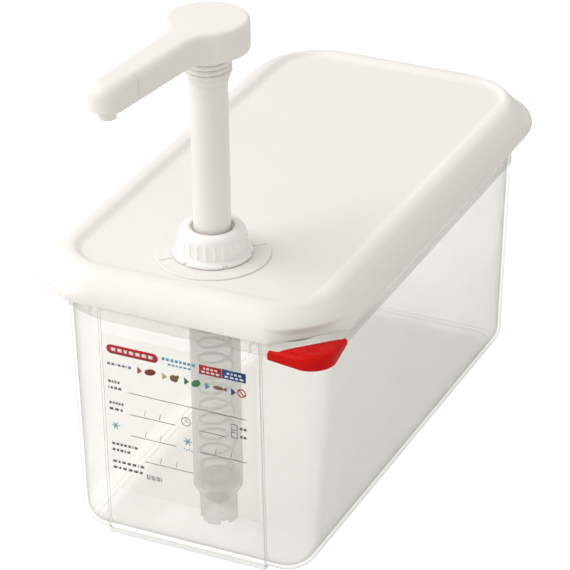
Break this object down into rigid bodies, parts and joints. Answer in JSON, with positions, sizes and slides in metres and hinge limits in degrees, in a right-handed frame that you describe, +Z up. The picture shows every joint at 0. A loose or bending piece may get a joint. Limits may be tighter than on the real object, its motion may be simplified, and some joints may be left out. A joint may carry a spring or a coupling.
{
  "type": "condiment pump dispenser",
  "caption": "Translucent gastronorm food box with a lid-mounted piston pump: press the head and sauce leaves the long spout; lid, pump, nut and colour clip come off for cleaning.",
  "frame": {"origin": "centre of the container's underside, on the standing surface", "axes": "+Z up; -Y is the labelled front end with the pump; +X is the side with the colour clip"},
  "size_m": [0.1783, 0.3702, 0.301],
  "materials": {
    "pp_translucent": "translucent frosted polypropylene",
    "label_film": "clear printed film",
    "red_plastic": "satin moulded red",
    "white_pp": "satin moulded warm white",
    "bright_white_pp": "glossier moulded white",
    "pump_white": "satin moulded off-white",
    "natural_pp": "natural polypropylene, slightly cloudy",
    "silicone": "pale silicone",
    "dark_rubber": "dark nitrile",
    "stainless": "stainless steel"
  },
  "bodies": {
    "box": {"container": "pp_translucent", "label_film": "label_film"},
    "clip": {"colour_clip": "red_plastic"},
    "lid": {"lid": "white_pp", "lid_gasket": "silicone", "neck_adapter": "white_pp", "neck_seal": "silicone"},
    "pump": {"cylinder_gasket": "silicone", "pump_cylinder": "natural_pp", "guide_bush": "white_pp", "stem_wiper": "silicone", "ball_cage": "white_pp", "return_spring": "stainless"},
    "nut": {"closure_nut": "bright_white_pp"},
    "inlet_ball": {"inlet_ball": "stainless"},
    "piston": {"piston": "white_pp", "piston_seal": "dark_rubber"},
    "outlet_ball": {"outlet_ball": "stainless"},
    "head": {"stem_tube": "pump_white", "outlet_cage": "white_pp", "lock_collar": "pump_white", "pump_head": "pump_white", "spout_tip": "pump_white"}
  },
  "joints": [
    {"name": "clip_off", "type": "slide", "parent": "box", "child": "clip", "axis": [0.7071, -0.7071, 0], "range_m": [0, 0.03]},
    {"name": "lid_lift", "type": "slide", "parent": "box", "child": "lid", "axis": [0, 0, 1], "range_m": [0, 0.17]},
    {"name": "pump_lift", "type": "slide", "parent": "lid", "child": "pump", "axis": [0, 0, 1], "range_m": [0, 0.18]},
    {"name": "nut_turn", "type": "hinge", "parent": "pump", "child": "nut", "pos_m": [0, -0.1085, 0.174], "axis": [0, 0, 1], "range_deg": [0, 540]},
    {"name": "inlet_lift", "type": "slide", "parent": "pump", "child": "inlet_ball", "axis": [0, 0, 1], "range_m": [0, 0.003]},
    {"name": "pump_stroke", "type": "slide", "parent": "pump", "child": "piston", "axis": [0, 0, -1], "range_m": [0, 0.08], "stiffness_N_per_m": 60, "springref_m": -0.05, "deforming": ["return_spring"]},
    {"name": "outlet_lift", "type": "slide", "parent": "piston", "child": "outlet_ball", "axis": [0, 0, 1], "range_m": [0, 0.003]},
    {"name": "head_swivel", "type": "hinge", "parent": "piston", "child": "head", "pos_m": [0, -0.1085, 0.29], "axis": [0, 0, 1], "continuous": true}
  ]
}
